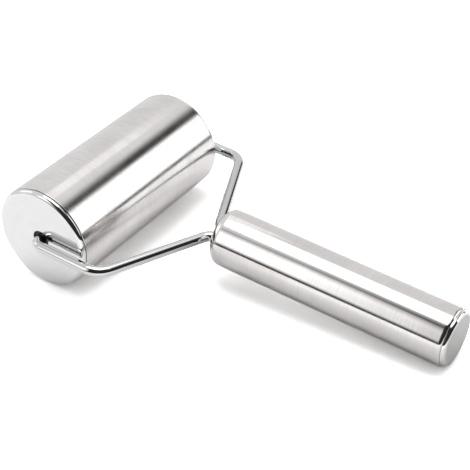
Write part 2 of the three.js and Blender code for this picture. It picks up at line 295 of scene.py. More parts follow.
class FitSizes(bpy.types.PropertyGroup):
    """The gaps between pieces."""

    press: length("Press", "Around a piece pressed into another", 0.00015)
    seat: length("Seat", "Between two faces that meet", 0.0001)
    running: length("Running", "Between a pin and its bush", 0.0001)
    end_float: length("End Float", "Between a turning face and a still one", 0.0003)
    pin_hole: length("Pin Hole", "Around a pin in the hole of its end cap", 0.0018)
    wire_hole: length("Wire Hole", "Around a wire in the face of the nose", 0.0004)


class FinishColours(bpy.types.PropertyGroup):
    """The colours of the metals, plastics and rubber."""

    satin_light: tint("Satin Light", "Brushed steel where its grain is bright", (0.77, 0.75, 0.74))
    satin_dark: tint("Satin Dark", "Brushed steel where its grain is dark", (0.61, 0.59, 0.58))
    polished: tint("Polished", "Polished steel", (0.78, 0.78, 0.78))
    drawn: tint("Drawn", "Polished wire of the arms", (0.62, 0.62, 0.62))
    pressed: tint("Pressed", "Polished sheet of the end caps", (0.72, 0.72, 0.72))
    pressed_dark: tint("Pressed Dark", "Darker clouds of that sheet", (0.68, 0.68, 0.68))
    matt: tint("Matt", "Blasted face of the end cap", (0.68, 0.675, 0.67))
    matt_dark: tint("Matt Dark", "Darker spots of the blasted face", (0.61, 0.605, 0.6))
    plain: tint("Plain", "Steel as cut or pressed", (0.5, 0.5, 0.505))
    bearing: tint("Bearing", "Black acetal", (0.012, 0.012, 0.0125))
    core: tint("Core", "Black nylon", (0.022, 0.023, 0.025))
    seal: tint("Seal", "Nitrile rubber", (0.012, 0.012, 0.012))
    floor: tint("Floor", "Pale table", (0.93, 0.93, 0.93))


class StageSettings(bpy.types.PropertyGroup):
    """Camera, table and studio light."""

    azimuth: angle("Azimuth", "Of the camera, from straight along the roller", 34.588)
    elevation: angle("Elevation", "Of the camera above the table", 35.746)
    roll: angle("Roll", "Of the camera about its own axis", -0.96)
    distance: length("Distance", "From the camera to its target", 0.61537)
    target: position("Target", "Point in the middle of the picture", (0.066306, 0.006584, -0.007271))
    lens: FloatProperty(
        name="Lens", description="Focal length in millimetres", default=101.745, unit="CAMERA"
    )
    floor_radius: length("Floor Radius", "Of the round table", 0.5)
    floor_lift: level("Floor Lift", "How much paler the table is where the camera looks at it", 2.2)
    # Painted shade and light on the table, seen only in the metal: darker along the handle, paler away from
    # it, and set by band behind, before and beside the roller
    gloss_left: level("Gloss Left", "How pale the metal shows the table behind the roller", 0.92)
    gloss_front: level("Gloss Front", "How pale the metal shows the table before the roller's left end", 1.32)
    gloss_gap: level("Gloss Gap", "How pale the metal shows the table between roller and handle", 1.25)
    gloss_near: level("Gloss Near", "How pale the metal shows the table along the handle", 0.8)
    gloss_far: level("Gloss Far", "How pale the metal shows the table away from the handle", 1.45)
    gloss_reach: length("Gloss Reach", "From the handle to the palest table", 0.1)
    right: level("Right Softbox", "Radiance of the softbox on the right", 1.8)
    front: level("Front Softbox", "Radiance of the softbox at the front left", 1.8)
    overhead: level("Overhead Softbox", "Radiance of the softbox above", 4.4)
    left: level("Left Softbox", "Radiance of the softbox on the left", 1.6)
    strip: FloatProperty(
        name="Strip Lamp", description="Power of the lamp behind the roller", default=0.0145, unit="POWER"
    )
    strip_width: length("Strip Width", "Of that lamp, across the roller", 0.1)
    strip_length: length("Strip Length", "Of that lamp, along the roller", 0.14)
    strip_place: position("Strip Place", "Middle of that lamp", (-0.078, 0.18, 0.274))
    backdrop: level("Backdrop", "Radiance of the pale backdrop", 0.9)
    shade: level("Shade", "Radiance of the dark room behind the camera", 0.03)


class HandRollerSettings(bpy.types.PropertyGroup):
    """Everything that a user would change."""

    roller: PointerProperty(type=RollerSizes)
    bearing: PointerProperty(type=BearingSizes)
    arm: PointerProperty(type=ArmSizes)
    handle: PointerProperty(type=HandleSizes)
    fit: PointerProperty(type=FitSizes)
    colour: PointerProperty(type=FinishColours)
    stage: PointerProperty(type=StageSettings)


class Layout:
    """Sizes and places that follow from the settings, shared by the operators."""

    def __init__(self, settings):
        roller, bearing, arm = settings.roller, settings.bearing, settings.arm
        handle, fit = settings.handle, settings.fit
        self.roller_radius = roller.diameter / 2
        self.roller_half = roller.length / 2
        self.wire_radius = arm.wire / 2
        self.pin_hole = self.wire_radius + fit.pin_hole
        self.wire_hole = self.wire_radius + fit.wire_hole

        # Along the roller, inwards from the outer face of a cap
        self.cap_rim = roller.shoulder_depth + roller.cap_land
        self.bearing_seat = roller.cap_sheet + fit.seat
        self.cup_end = self.bearing_seat + bearing.bush_length
        self.bush_shoulder = self.cup_end + fit.seat
        self.bush_end = self.bush_shoulder + bearing.bush_flange
        self.washer_start = self.bush_end + fit.end_float
        self.ring_start = self.washer_start + bearing.washer + fit.seat
        self.pin_tip = self.ring_start + bearing.ring + bearing.pin_tip

        # Around the pin
        self.pin_bore = self.wire_radius + fit.running
        self.bush_radius = self.pin_bore + bearing.bush_wall
        self.cup_bore = self.bush_radius + fit.press
        self.cup_radius = self.cup_bore + bearing.cup_wall

        # Along the handle, from the roller's axis
        self.elbow = self.roller_radius + arm.elbow_clearance
        self.handle_start = HANDLE_END - handle.length
        self.nose_seam = self.handle_start + handle.nose_rounding + handle.nose_land
        self.core_start = self.nose_seam + handle.nose_spigot + fit.seat
        self.core_end = self.core_start + handle.core
        self.lock_pins = (self.core_start + handle.lock_pin_inset, self.core_end - handle.lock_pin_inset)
        self.cap_seam = HANDLE_END - handle.cap_shoulder_depth
        self.seal_middle = self.cap_seam - handle.cap_spigot / 2

        # Around the handle
        self.handle_radius = handle.diameter / 2
        self.tube_bore = self.handle_radius - handle.wall
        self.spigot_radius = self.tube_bore - fit.press
        self.groove_floor = self.tube_bore - handle.seal
        self.end_cap_radius = self.handle_radius - handle.tube_edge_width

        # Across the arms
        self.arm_offset = self.roller_half + arm.standoff + self.wire_radius
        self.tang_offset = self.wire_radius + arm.tang_gap / 2

    def roller_end(self, side):
        """The frame of one roller end: +Z runs inwards from the outer face of its cap."""
        outwards = SIDES[side] * ACROSS
        return axis_frame(ROLLER_CENTRE + self.roller_half * outwards, -outwards)

    def lock_pin_frames(self):
        """The frames of both lock pins: +Z runs along each from its middle."""
        return [YOKE @ Matrix.Translation((along, 0, 0)) for along in self.lock_pins]

    def tang_cutters(self, radius, low, high):
        """Rods that cut the holes of both arms into a piece of the handle."""
        cutters = []
        for sign in SIDES.values():
            aside = Matrix.Translation(sign * self.tang_offset * ACROSS)
            cutters.append(rod_mesh(radius, low, high, aside @ HANDLE_AXIS))
        return cutters


def settings_and_layout(context):
    """The settings, and the layout that follows from them."""
    settings = context.scene.hand_roller
    return settings, Layout(settings)


# Meshes


def rounded(corners):
    """Profile points from corners of (radius, along, rounding). One that starts off the axis is closed."""
    points = []
    for i, (radius, along, rounding) in enumerate(corners):
        corner = Vector((radius, along))
        if rounding == 0:
            points.append(corner)
            continue
        before = (Vector(corners[i - 1][:2]) - corner).normalized()
        after = (Vector(corners[(i + 1) % len(corners)][:2]) - corner).normalized()
        half = before.angle(after) / 2
        centre = corner + (before + after).normalized() * rounding / math.sin(half)
        start = corner + before * rounding / math.tan(half) - centre
        end = corner + after * rounding / math.tan(half) - centre
        sweep = -start.angle_signed(end)
        for step in range(EDGE_STEPS + 1):
            points.append(centre + Matrix.Rotation(sweep * step / EDGE_STEPS, 2) @ start)
    if corners[0][0] > 0:
        points.append(points[0])
    return points


def held(points):
    """The profile with a point near each end of its long runs, so that only its edges shade as round."""
    kept = points[:1]
    for a, b in zip(points, points[1:]):
        run = (b - a).length
        if run > LONG_RUN:
            inside = (b - a) * HOLD / run
            kept += [a + inside, b - inside]
        kept.append(b)
    return kept


def shoulder(radius, along, width, depth):
    """Corners of a quarter ellipse, from its flat end at along to its straight side at the radius."""
    corners = []
    for step in range(SHOULDER_STEPS + 1):
        turn = math.pi / 2 * step / SHOULDER_STEPS
        corners.append((radius - width * (1 - math.sin(turn)), along + depth * (1 - math.cos(turn)), 0))
    return corners


def mirrored(corners):
    """The same corners looking the other way along the axis."""
    return [(radius, -along, rounding) for radius, along, rounding in reversed(corners)]


def ring_corners(inner, outer, low, high, rounding):
    """Corners of a ring's rectangular section, with one rounding on its edges."""
    spots = ((inner, low), (outer, low), (outer, high), (inner, high))
    return [(radius, along, rounding) for radius, along in spots]


def turned_mesh(name, corners, facets, place):
    """A mesh turned from a profile's corners about the +Z of its place, with a UV map along the profile."""
    points = held(rounded(corners))
    made = bmesh.new()
    uv = made.loops.layers.uv.new(TURNED_UV)
    travel = [0.0]
    for a, b in zip(points, points[1:]):
        travel.append(travel[-1] + (b - a).length)
    girth = 2 * math.pi * max(point.x for point in points)
    turns = [2 * math.pi * k / facets for k in range(facets)]
    closed = (points[0] - points[-1]).length == 0
    rings = []
    for point in points[:-1] if closed else points:
        if point.x == 0:
            rings.append([made.verts.new((0, 0, point.y))] * facets)
            continue
        circle = [(point.x * math.cos(turn), point.x * math.sin(turn), point.y) for turn in turns]
        rings.append([made.verts.new(spot) for spot in circle])
    if closed:
        rings.append(rings[0])
    for i, (low, high) in enumerate(zip(rings, rings[1:])):
        for k in range(facets):
            after = (k + 1) % facets
            quad = ((low[k], i, k), (low[after], i, k + 1), (high[after], i + 1, k + 1), (high[k], i + 1, k))
            spots = {}
            for vert, row, column in quad:
                spots.setdefault(vert, (travel[row], girth * column / facets))
            face = made.faces.new(list(spots))
            for loop, spot in zip(face.loops, spots.values()):
                loop[uv].uv = spot
    if made.calc_volume(signed=True) < 0:
        bmesh.ops.reverse_faces(made, faces=made.faces)
    mesh = bpy.data.meshes.new(name)
    made.to_mesh(mesh)
    made.free()
    mesh.transform(place)
    mesh.shade_smooth()
    mesh.set_sharp_from_angle(angle=SHARP_ANGLE)
    return mesh


def rod_mesh(radius, low, high, place):
    """A plain closed rod along the +Z of its place, as a cutter."""
    corners = [(0, low, 0), (radius, low, 0), (radius, high, 0), (0, high, 0)]
    return turned_mesh("rod", corners, INNER_FACETS, place)


def evaluated_mesh(scratch):
    """The plain mesh that a scratch object's modifiers give. The object is removed."""
    bpy.context.scene.collection.objects.link(scratch)
    depsgraph = bpy.context.evaluated_depsgraph_get()
    evaluated = scratch.evaluated_get(depsgraph)
    mesh = bpy.data.meshes.new_from_object(evaluated, preserve_all_data_layers=True, depsgraph=depsgraph)
    bpy.data.objects.remove(scratch)
    return mesh


def cut_out(mesh, cutters):
    """The mesh with every cutter mesh taken out of it."""
    scratch = bpy.data.objects.new(mesh.name, mesh)
    tools = []
    for cutter in cutters:
        tool = bpy.data.objects.new("cutter", cutter)
        bpy.context.scene.collection.objects.link(tool)
        tools.append(tool)
        modifier = scratch.modifiers.new("cut", "BOOLEAN")
        modifier.operation = "DIFFERENCE"
        modifier.solver = "EXACT"
        modifier.object = tool
    made = evaluated_mesh(scratch)
    for tool in tools:
        bpy.data.objects.remove(tool)
    made.set_sharp_from_angle(angle=SHARP_ANGLE)
    return made


def add_piece(name, mesh, material, body):
    """Links a mesh as a piece that stands for the CAD node of its name and rides on its body."""
    if not mesh.materials:
        mesh.materials.append(material)
    piece = bpy.data.objects.new(name + "_dressed", mesh)
    bpy.context.scene.collection.objects.link(piece)
    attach(piece, body)
    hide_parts(name)


# Nodes and materials


def set_inputs(tree, node, inputs):
    """Sets a node's inputs to values, or links them from sockets."""
    for key, value in inputs.items():
        if isinstance(value, bpy.types.NodeSocket):
            tree.links.new(value, node.inputs[key])
        else:
            node.inputs[key].default_value = value


def add_node(tree, kind, inputs=None, **settings):
    """A new node with its settings and inputs."""
    node = tree.nodes.new(kind)
    for key, value in settings.items():
        setattr(node, key, value)
    set_inputs(tree, node, inputs or {})
    return node


def first_output(tree, kind, inputs=None, **settings):
    """The first output of a new node."""
    return add_node(tree, kind, inputs, **settings).outputs[0]


def reckoned(tree, operation, first, second=0.0):
    """The result of a Math node."""
    return first_output(tree, "ShaderNodeMath", {0: first, 1: second}, operation=operation)


def spread(tree, value, low, high, to_low=0.0, to_high=1.0):
    """A value mapped from one range to another, held at its ends."""
    inputs = {"Value": value, "From Min": low, "From Max": high, "To Min": to_low, "To Max": to_high}
    return first_output(tree, "ShaderNodeMapRange", inputs)


def noise(tree, coordinates, detail, roughness, scale=1.0):
    """Noise in the given coordinates."""
    inputs = {"Vector": coordinates, "Scale": scale, "Detail": detail, "Roughness": roughness}
    return first_output(tree, "ShaderNodeTexNoise", inputs)


def scaled(tree, coordinates, size):
    """Coordinates in units of a size along each axis."""
    inputs = {"Vector": coordinates, "Scale": size}
    return first_output(tree, "ShaderNodeMapping", inputs, vector_type="TEXTURE")


def blended(tree, factor, first, second):
    """A mix of two colours."""
    inputs = {"Factor": factor, "A": (*first, 1.0), "B": (*second, 1.0)}
    return add_node(tree, "ShaderNodeMix", inputs, data_type="RGBA").outputs["Result"]


def bumped(tree, height, depth, strength):
    """A normal that a height bends."""
    inputs = {"Height": height, "Distance": depth, "Strength": strength}
    return first_output(tree, "ShaderNodeBump", inputs)


def object_spot(tree):
    """Object coordinates."""
    return add_node(tree, "ShaderNodeTexCoord").outputs["Object"]


def turned_spot(tree, width, reach):
    """Coordinates for a pattern of rings around a turned piece: width along the profile, reach around it."""
    uv = first_output(tree, "ShaderNodeUVMap", uv_map=TURNED_UV)
    travel = add_node(tree, "ShaderNodeSeparateXYZ", {"Vector": uv}).outputs["X"]
    spot = add_node(tree, "ShaderNodeSeparateXYZ", {"Vector": object_spot(tree)}).outputs
    x, y, z = (reckoned(tree, "DIVIDE", spot[axis], reach) for axis in "XYZ")
    rings = {"X": reckoned(tree, "DIVIDE", travel, width), "Y": reckoned(tree, "ADD", x, y), "Z": z}
    return first_output(tree, "ShaderNodeCombineXYZ", rings)


def new_material(name):
    """A node material, with its tree and its Principled shader."""
    material = bpy.data.materials.new(name)
    material.use_nodes = True
    return material, material.node_tree, material.node_tree.nodes["Principled BSDF"]


def turned_steel(name, light, dark, grain, roughness, anisotropy, depth):
    """Steel with fine rings of grain around its axis, as a lathe and a belt leave them."""
    material, tree, shader = new_material(name)
    fine = noise(tree, turned_spot(tree, grain, FINE_REACH), detail=5.0, roughness=0.6)
    broad = noise(tree, turned_spot(tree, grain * BROAD_RATIO, BROAD_REACH), detail=3.0, roughness=0.6)
    smudge = noise(tree, object_spot(tree), detail=3.0, roughness=0.55, scale=SMUDGES)
    worn = reckoned(tree, "ADD", reckoned(tree, "ADD", fine, broad), smudge)
    bright_roughness, dark_roughness = roughness
    tangent = first_output(tree, "ShaderNodeTangent", direction_type="UV_MAP", uv_map=TURNED_UV)
    finish = {
        "Base Color": blended(tree, spread(tree, worn, *GRAIN_SPAN), dark, light),
        "Roughness": spread(tree, worn, *GRAIN_SPAN, dark_roughness, bright_roughness),
        "Normal": bumped(tree, fine, depth, GRAIN_BUMP),
        "Tangent": tangent,
        "Metallic": 1.0,
        "Anisotropic": anisotropy,
    }
    set_inputs(tree, shader, finish)
    return material


def drawn_wire(name, colour):
    """Polished wire with faint lines along it from the drawing die."""
    material, tree, shader = new_material(name)
    where = add_node(tree, "ShaderNodeAttribute", attribute_name=WIRE_ATTRIBUTE).outputs["Vector"]
    lines = noise(tree, scaled(tree, where, DIE_LINES), detail=4.0, roughness=0.6)
    smudge = noise(tree, scaled(tree, where, WIRE_SMUDGES), detail=3.0, roughness=0.5)
    dulled = [DIE_DULLING * channel for channel in colour]
    finish = {
        "Base Color": blended(tree, spread(tree, lines, *DIE_SPAN), dulled, colour),
        "Roughness": spread(tree, smudge, *NOISE_SPAN, *WIRE_ROUGHNESS),
        "Normal": bumped(tree, lines, DIE_DEPTH, DIE_BUMP),
        "Metallic": 1.0,
    }
    set_inputs(tree, shader, finish)
    return material


def moulded(name, colour, roughness, skin_size, depth):
    """Moulded plastic or rubber with a fine skin and a little colour variation."""
    material, tree, shader = new_material(name)
    where = object_spot(tree)
    skin = noise(tree, scaled(tree, where, (skin_size,) * 3), detail=3.0, roughness=0.6)
    flow = noise(tree, scaled(tree, where, (skin_size * FLOW_RATIO,) * 3), detail=2.0, roughness=0.5)
    shaded = [FLOW_SHADE * channel for channel in colour]
    finish = {
        "Base Color": blended(tree, flow, shaded, colour),
        "Roughness": spread(tree, skin, *NOISE_SPAN, roughness - SKIN_SWING, roughness + SKIN_SWING),
        "Normal": bumped(tree, skin, depth, SKIN_BUMP),
    }
    set_inputs(tree, shader, finish)
    return material


# Geometry nodes for the arms


def captured(tree, geometry, kind, name, value):
    """The outputs of a node that keeps a value on a geometry's points."""
    node = add_node(tree, "GeometryNodeCaptureAttribute", domain="POINT")
    node.capture_items.new(kind, name)
    set_inputs(tree, node, {"Geometry": geometry, name: value})
    return node.outputs


def wire_sweep():
    """A tree that rounds a path's corners by its bend attribute, sweeps a wire along it and notches it."""
    tree = bpy.data.node_groups.new("wire_sweep", "GeometryNodeTree")
    sockets = {
        "Geometry": "NodeSocketGeometry",
        "Wire Diameter": "NodeSocketFloat",
        "Wire Facets": "NodeSocketInt",
        "Bend Steps": "NodeSocketInt",
        "Notch Diameter": "NodeSocketFloat",
        "Notch Depth": "NodeSocketFloat",
        "Front Notch": "NodeSocketFloat",
        "Rear Notch": "NodeSocketFloat",
        "Material": "NodeSocketMaterial",
    }
    for name, kind in sockets.items():
        tree.interface.new_socket(name, in_out="INPUT", socket_type=kind)
    tree.interface.new_socket("Geometry", in_out="OUTPUT", socket_type="NodeSocketGeometry")
    given = add_node(tree, "NodeGroupInput").outputs
    wire_radius = reckoned(tree, "MULTIPLY", given["Wire Diameter"], 0.5)
    notch_radius = reckoned(tree, "MULTIPLY", given["Notch Diameter"], 0.5)

    # The path with its bends, which keeps its length so far, and the wire's section, which keeps its points
    path = first_output(tree, "GeometryNodeMeshToCurve", {"Mesh": given["Geometry"]})
    bend = first_output(tree, "GeometryNodeInputNamedAttribute", {"Name": BEND_ATTRIBUTE}, data_type="FLOAT")
    bends = {"Curve": path, "Count": given["Bend Steps"], "Radius": bend}
    bent = first_output(tree, "GeometryNodeFilletCurve", bends, mode="POLY")
    travel = add_node(tree, "GeometryNodeSplineParameter").outputs["Length"]
    measured = captured(tree, bent, "FLOAT", "Travel", travel)
    circle = {"Resolution": given["Wire Facets"], "Radius": wire_radius}
    section = first_output(tree, "GeometryNodeCurvePrimitiveCircle", circle)
    marked = captured(tree, section, "VECTOR", "Spot", first_output(tree, "GeometryNodeInputPosition"))

    # The wire, with its own coordinates across and along it
    curves = {"Curve": measured["Geometry"], "Profile Curve": marked["Geometry"], "Fill Caps": True}
    wire = first_output(tree, "GeometryNodeCurveToMesh", curves)
    spot = add_node(tree, "ShaderNodeSeparateXYZ", {"Vector": marked["Spot"]}).outputs
    lengthwise = {"X": spot["X"], "Y": spot["Y"], "Z": measured["Travel"]}
    along = first_output(tree, "ShaderNodeCombineXYZ", lengthwise)
    stored = first_output(
        tree,
        "GeometryNodeStoreNamedAttribute",
        {"Geometry": wire, "Name": WIRE_ATTRIBUTE, "Value": along},
        data_type="FLOAT_VECTOR",
        domain="POINT",
    )
    smooth = first_output(tree, "GeometryNodeSetShadeSmooth", {"Geometry": stored})

    # The notches for the lock pins
    cut = add_node(
        tree, "GeometryNodeMeshBoolean", {"Mesh 1": smooth}, operation="DIFFERENCE", solver="EXACT"
    )
    for name in ("Front Notch", "Rear Notch"):
        size = {"Vertices": given["Wire Facets"], "Radius": notch_radius, "Depth": given["Notch Depth"]}
        rod = first_output(tree, "GeometryNodeMeshCylinder", size)
        place = first_output(tree, "ShaderNodeCombineXYZ", {"X": given[name]})
        moved = first_output(tree, "GeometryNodeTransform", {"Geometry": rod, "Translation": place})
        tree.links.new(moved, cut.inputs["Mesh 2"])

    realized = first_output(tree, "GeometryNodeRealizeInstances", {"Geometry": cut.outputs["Mesh"]})
    finish = {"Geometry": realized, "Material": given["Material"]}
    dressed = first_output(tree, "GeometryNodeSetMaterial", finish)
    add_node(tree, "NodeGroupOutput", {"Geometry": dressed})
    return tree


def run_tree(mesh, tree, values):
    """The plain mesh that a geometry-node tree makes of a mesh, with the tree's inputs given by name."""
    scratch = bpy.data.objects.new(mesh.name, mesh)
    modifier = scratch.modifiers.new(tree.name, "NODES")
    modifier.node_group = tree
    for item in tree.interface.items_tree:
        if item.in_out == "INPUT" and item.name in values:
            modifier[item.identifier] = values[item.name]
    return evaluated_mesh(scratch)


# Operators


class HANDROLLER_OT_roller_tube(bpy.types.Operator):
    """Make the roller's brushed tube"""

    bl_idname = "hand_roller.roller_tube"
    bl_label = "Roller Tube"
    bl_options = {"REGISTER", "UNDO"}

    def execute(self, context):
        settings, layout = settings_and_layout(context)
        roller, colour = settings.roller, settings.colour
        half = layout.roller_half - layout.cap_rim - roller.seam_gap
        inner = layout.roller_radius - roller.wall
        section = ring_corners(inner, layout.roller_radius, -half, half, roller.seam_rounding)
        mesh = turned_mesh("roller_tube", section, OUTER_FACETS, ROLLER_AXIS)
        steel = turned_steel("roller_satin_steel", colour.satin_light, colour.satin_dark, **ROLLER_SATIN)
        add_piece("roller_tube", mesh, steel, ROLLER_BODY)
        return {"FINISHED"}


class HANDROLLER_OT_end_caps(bpy.types.Operator):
    """Make the roller's two pressed end caps"""

    bl_idname = "hand_roller.end_caps"
    bl_label = "End Caps"
    bl_options = {"REGISTER", "UNDO"}

    def execute(self, context):
        settings, layout = settings_and_layout(context)
        roller, colour = settings.roller, settings.colour
        steel = turned_steel("cap_polished_steel", colour.pressed, colour.pressed_dark, **CAP_POLISH)
        rim = layout.roller_radius - roller.rim_inset
        skirt = layout.roller_radius - roller.wall - settings.fit.press
        skirt_end = layout.cap_rim + roller.skirt_length
        edge = roller.seam_rounding
        section = [
            (layout.pin_hole, 0, edge),
            *shoulder(rim, 0, roller.shoulder_width, roller.shoulder_depth),
            (rim, layout.cap_rim, edge / 2),
            (skirt, layout.cap_rim, 0),
            (skirt, skirt_end, edge),
            (skirt - roller.cap_sheet, skirt_end, edge),
            (skirt - roller.cap_sheet, roller.cap_sheet, roller.cap_sheet),
            (layout.pin_hole, roller.cap_sheet, edge),
        ]
        for side in SIDES:
            name = f"{side}_end_cap"
            mesh = turned_mesh(name, section, OUTER_FACETS, layout.roller_end(side))
            add_piece(name, mesh, steel, ROLLER_BODY)
        return {"FINISHED"}


class HANDROLLER_OT_bearings(bpy.types.Operator):
    """Make the cups and bushes inside the roller, and the washers and rings on the arms' pins"""

    bl_idname = "hand_roller.bearings"
    bl_label = "Bearings"
    bl_options = {"REGISTER", "UNDO"}

    def execute(self, context):
        settings, layout = settings_and_layout(context)
        bearing, colour, edge = settings.bearing, settings.colour, settings.roller.seam_rounding
        plain = turned_steel("plain_steel", colour.plain, colour.plain, **AS_CUT)
        acetal = moulded("black_acetal", colour.bearing, **ACETAL)
        bore, seat = layout.pin_bore, layout.bearing_seat
        cup_flange = layout.cup_radius + bearing.cup_flange_width
        cup_flange_end = seat + bearing.cup_flange
        cup = [
            (layout.cup_bore, seat, edge),
            (cup_flange, seat, edge),
            (cup_flange, cup_flange_end, edge),
            (layout.cup_radius, cup_flange_end, bearing.cup_flange / 2),
            (layout.cup_radius, layout.cup_end, edge),
            (layout.cup_bore, layout.cup_end, edge),
        ]
        bush_flange = layout.cup_bore + bearing.bush_flange_width
        bush = [
            (bore, seat, edge),
            (layout.bush_radius, seat, edge),
            (layout.bush_radius, layout.bush_shoulder, 0),
            (bush_flange, layout.bush_shoulder, edge),
            (bush_flange, layout.bush_end, edge),
            (bore, layout.bush_end, edge),
        ]
        washer_end = layout.washer_start + bearing.washer
        washer = ring_corners(bore, bore + bearing.washer_width, layout.washer_start, washer_end, edge)
        ring_end = layout.ring_start + bearing.ring
        pin_ring = ring_corners(bore, bore + bearing.ring_width, layout.ring_start, ring_end, edge)
        kinds = (
            ("bearing_cup", cup, plain, ROLLER_BODY, "plain_steel"),
            ("bush", bush, acetal, ROLLER_BODY, "bearing_plastic"),
            ("thrust_washer", washer, plain, HANDLE_BODY, "plain_steel"),
            ("pin_ring", pin_ring, plain, HANDLE_BODY, "plain_steel"),
        )
        for side in SIDES:
            for kind, section, material, body, slot in kinds:
                name = f"{side}_{kind}"
                mesh = turned_mesh(name, section, INNER_FACETS, layout.roller_end(side))
                add_piece(name, mesh, material, body)
        return {"FINISHED"}


class HANDROLLER_OT_arms(bpy.types.Operator):
    """Bend the two wire arms from the roller's pins to the handle's core"""

    bl_idname = "hand_roller.arms"
    bl_label = "Arms"
    bl_options = {"REGISTER", "UNDO"}

    def execute(self, context):
        settings, layout = settings_and_layout(context)
        arm, handle = settings.arm, settings.handle
        steel = drawn_wire("wire_polished_steel", settings.colour.drawn)
        values = {
            "Wire Diameter": arm.wire,
            "Wire Facets": WIRE_FACETS,
            "Bend Steps": BEND_STEPS,
            "Notch Diameter": handle.lock_pin + 2 * settings.fit.press,
            "Notch Depth": handle.diameter,
            "Front Notch": layout.lock_pins[0],
            "Rear Notch": layout.lock_pins[1],
            "Material": steel,
        }
        tree = wire_sweep()
        for side, sign in SIDES.items():
            mesh = run_tree(self.path(arm, handle, layout, sign), tree, values)
            mesh.transform(YOKE)
            mesh.set_sharp_from_angle(angle=SHARP_ANGLE)
            add_piece(f"{side}_arm", mesh, steel, HANDLE_BODY)
        return {"FINISHED"}

    def path(self, arm, handle, layout, sign):
        """An arm's corners in the yoke's plane as a polyline, with the bend at each corner."""
        corners = (
            (0, layout.roller_half - layout.pin_tip, 0),
            (0, layout.arm_offset, arm.pin_bend),
            (layout.elbow, layout.arm_offset, arm.elbow_bend),
            (self.neck(arm, layout), layout.tang_offset, arm.neck_bend),
            (layout.core_end - handle.tang_shortfall, layout.tang_offset, 0),
        )
        mesh = bpy.data.meshes.new("arm")
        edges = [(i, i + 1) for i in range(len(corners) - 1)]
        mesh.from_pydata([(along, sign * across, 0) for along, across, _ in corners], edges, [])
        bends = mesh.attributes.new(BEND_ATTRIBUTE, "FLOAT", "POINT")
        bends.data.foreach_set("value", [bend for _, _, bend in corners])
        return mesh

    def neck(self, arm, layout):
        """The neck's corner along the handle, for a bend that ends at the face of the nose."""
        rise = layout.arm_offset - layout.tang_offset
        depth = layout.handle_start - layout.elbow
        root = math.sqrt(depth**2 + (rise - 2 * arm.neck_bend) * rise)
        return layout.handle_start - arm.neck_bend * rise / (depth + root)


class HANDROLLER_OT_handle_shell(bpy.types.Operator):
    """Make the handle's nose, tube and end cap"""

    bl_idname = "hand_roller.handle_shell"
    bl_label = "Handle Shell"
    bl_options = {"REGISTER", "UNDO"}

    def execute(self, context):
        settings, layout = settings_and_layout(context)
        handle, colour = settings.handle, settings.colour
        satin = turned_steel("handle_satin_steel", colour.satin_light, colour.satin_dark, **HANDLE_SATIN)
        rim = turned_steel("end_cap_rim_steel", colour.polished, colour.satin_light, **RIM_POLISH)
        matt = turned_steel("end_cap_face_steel", colour.matt, colour.matt_dark, **FACE_BLAST)
        nose = self.nose(handle, layout)
        tube = self.tube(handle, layout, settings.fit.seat)
        end_cap = self.end_cap(handle, layout, (rim, matt))
        add_piece("handle_nose", nose, satin, HANDLE_BODY)
        add_piece("handle_tube", tube, satin, HANDLE_BODY)
        add_piece("handle_end_cap", end_cap, rim, HANDLE_BODY)
        return {"FINISHED"}

    def nose(self, handle, layout):
        """The nose, a rounded cup on a spigot, with the holes for both arms."""
        start, seam = layout.handle_start, layout.nose_seam
        spigot_end = seam + handle.nose_spigot
        spigot_bore = layout.spigot_radius - handle.nose_sheet
        inside = start + handle.nose_sheet
        section = [
            (0, start, 0),
            *shoulder(layout.handle_radius, start, handle.nose_rounding, handle.nose_rounding),
            (layout.handle_radius, seam, 0),
            (layout.spigot_radius, seam, 0),
            (layout.spigot_radius, spigot_end, handle.seam_rounding),
            (spigot_bore, spigot_end, handle.seam_rounding),
            (spigot_bore, start + handle.nose_rounding, 0),
            (layout.handle_radius - handle.nose_rounding, inside, 0),
            (0, inside, 0),
        ]
        mesh = turned_mesh("handle_nose", section, OUTER_FACETS, HANDLE_AXIS)
        past = handle.nose_sheet
        return cut_out(mesh, layout.tang_cutters(layout.wire_hole, start - past, inside + past))

    def tube(self, handle, layout, seat):
        """The tube, with its rounded back edge."""
        start = layout.nose_seam + handle.nose_gap
        end = layout.cap_seam - seat
        edge = shoulder(layout.handle_radius, -end, handle.tube_edge_width, handle.tube_edge_depth)
        section = [
            (layout.tube_bore, start, 0),
            (layout.handle_radius, start, 0),
            *mirrored(edge),
            (layout.tube_bore, end, 0),
        ]
        return turned_mesh("handle_tube", section, OUTER_FACETS, HANDLE_AXIS)

    def end_cap(self, handle, layout, finishes):
        """The end cap, with the first finish on its rim and the second on its flat face."""
        inside = HANDLE_END - handle.cap_face
        spigot_end = layout.cap_seam - handle.cap_spigot
        spigot_bore = layout.groove_floor - handle.groove_wall
        groove_half = handle.seal / 2 + handle.seal_side_gap
        groove_start = layout.seal_middle - groove_half
        groove_end = layout.seal_middle + groove_half
        edge = handle.seam_rounding
        width, depth = handle.cap_shoulder_width, handle.cap_shoulder_depth
        section = [
            (0, inside, 0),
            (spigot_bore, inside, handle.cap_face / 2),
            (spigot_bore, spigot_end, edge),
            (layout.spigot_radius, spigot_end, edge),
            (layout.spigot_radius, groove_start, edge / 2),
            (layout.groove_floor, groove_start, edge / 2),
            (layout.groove_floor, groove_end, edge / 2),
            (layout.spigot_radius, groove_end, edge / 2),
            (layout.spigot_radius, layout.cap_seam, 0),
            *mirrored(shoulder(layout.end_cap_radius, -HANDLE_END, width, depth)),
            (0, HANDLE_END, 0),
        ]
        mesh = turned_mesh("handle_end_cap", section, OUTER_FACETS, HANDLE_AXIS)
        for finish in finishes:
            mesh.materials.append(finish)
        for polygon in mesh.polygons:
            polygon.material_index = int(polygon.normal.dot(HANDLE_DIRECTION) > FACE_ON)
        return mesh


